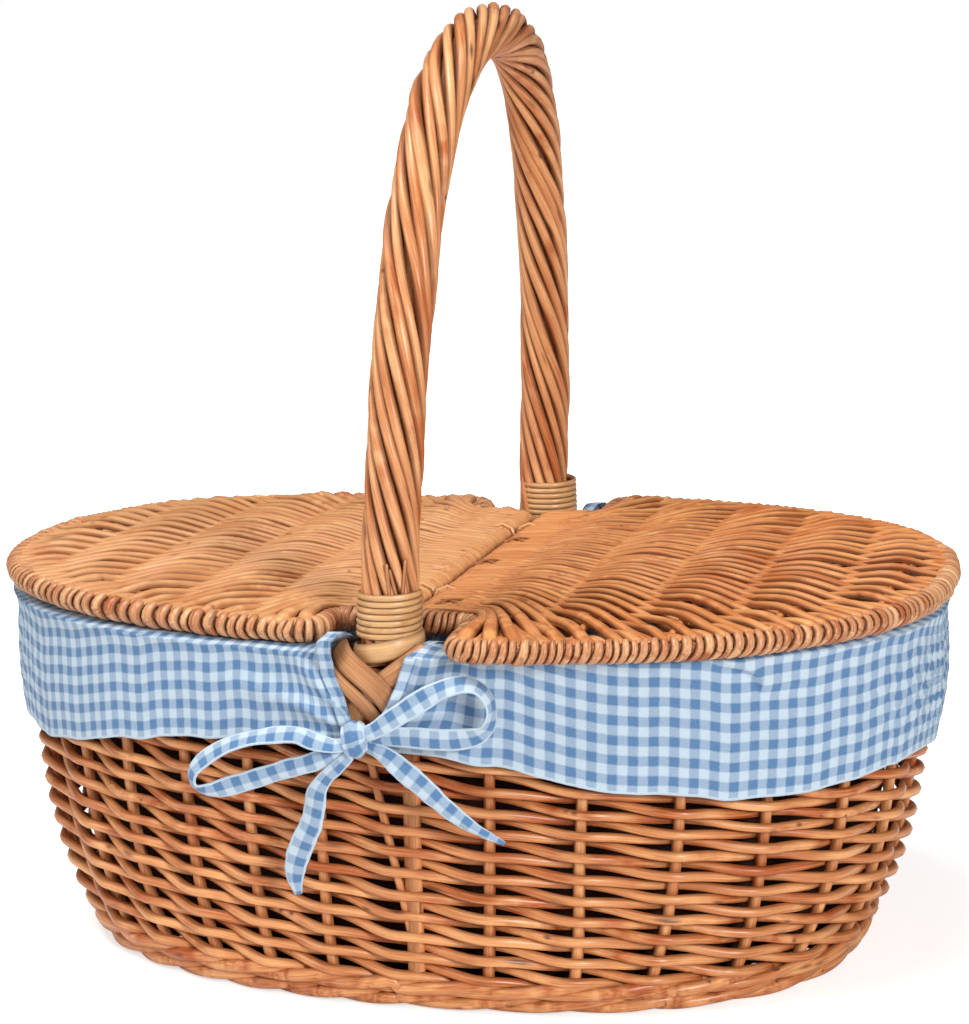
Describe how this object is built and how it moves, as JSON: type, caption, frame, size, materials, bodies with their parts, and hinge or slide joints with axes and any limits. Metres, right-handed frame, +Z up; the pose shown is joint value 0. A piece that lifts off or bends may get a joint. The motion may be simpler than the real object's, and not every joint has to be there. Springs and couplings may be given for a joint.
{
  "type": "lidded picnic basket",
  "caption": "Oval willow picnic basket with two hinged half lids, a roped hoop handle over the middle and a checked cloth liner tied in bows at the handle's feet.",
  "frame": {"origin": "centre of the basket's bounding box, on the plane it stands on", "axes": "+Z up, +X along the oval's long axis, +Y across it; the handle stands in the plane X = 0"},
  "size_m": [0.426, 0.3298, 0.4089],
  "materials": {
    "willow": "buff willow rods with a thin satin varnish",
    "lid_willow": "lighter buff willow, satin varnish",
    "cane": "pale split cane, smooth and slightly glossy",
    "gingham": "plain-weave cotton in blue and white checks, matt"
  },
  "bodies": {
    "basket": {"bottom": "willow", "foot_wale": "willow", "side_weave": "willow", "stakes_and_border": "willow", "handle_core": "willow", "handle_strand_1": "willow", "handle_strand_2": "willow", "handle_strand_3": "willow", "handle_strand_4": "willow", "handle_strand_5": "willow", "handle_strand_6": "willow", "handle_strand_7": "willow", "handle_strand_8": "willow", "handle_strand_9": "willow", "handle_strand_10": "willow", "handle_strand_11": "willow", "handle_strand_12": "willow", "foot_binding_front": "cane", "foot_binding_back": "cane", "foot_strap_front_1": "willow", "foot_strap_front_2": "willow", "foot_strap_back_1": "willow", "foot_strap_back_2": "willow", "crossbar": "willow", "hinge_loop_left_front": "cane", "hinge_loop_left_back": "cane", "hinge_loop_right_front": "cane", "hinge_loop_right_back": "cane", "liner": "gingham", "valance_left": "gingham", "valance_right": "gingham", "bow_front_knot": "gingham", "bow_front_left_loop": "gingham", "bow_front_right_loop": "gingham", "bow_front_left_tail": "gingham", "bow_front_right_tail": "gingham", "bow_back_knot": "gingham", "bow_back_left_loop": "gingham", "bow_back_right_loop": "gingham", "bow_back_left_tail": "gingham", "bow_back_right_tail": "gingham"},
    "lid_left": {"lid_left_hoop": "lid_willow", "lid_left_panel": "lid_willow", "lid_left_rib_1": "lid_willow", "lid_left_rib_2": "lid_willow", "lid_left_rib_3": "lid_willow", "lid_left_rib_4": "lid_willow", "lid_left_rib_5": "lid_willow"},
    "lid_right": {"lid_right_hoop": "lid_willow", "lid_right_panel": "lid_willow", "lid_right_rib_1": "lid_willow", "lid_right_rib_2": "lid_willow", "lid_right_rib_3": "lid_willow", "lid_right_rib_4": "lid_willow", "lid_right_rib_5": "lid_willow"}
  },
  "joints": [
    {"name": "lid_left_hinge", "type": "hinge", "parent": "basket", "child": "lid_left", "pos_m": [-0.0063, 0, 0.1612], "axis": [0, 1, 0], "range_deg": [0, 56]},
    {"name": "lid_right_hinge", "type": "hinge", "parent": "basket", "child": "lid_right", "pos_m": [0.0063, 0, 0.1612], "axis": [0, -1, 0], "range_deg": [0, 56]}
  ]
}
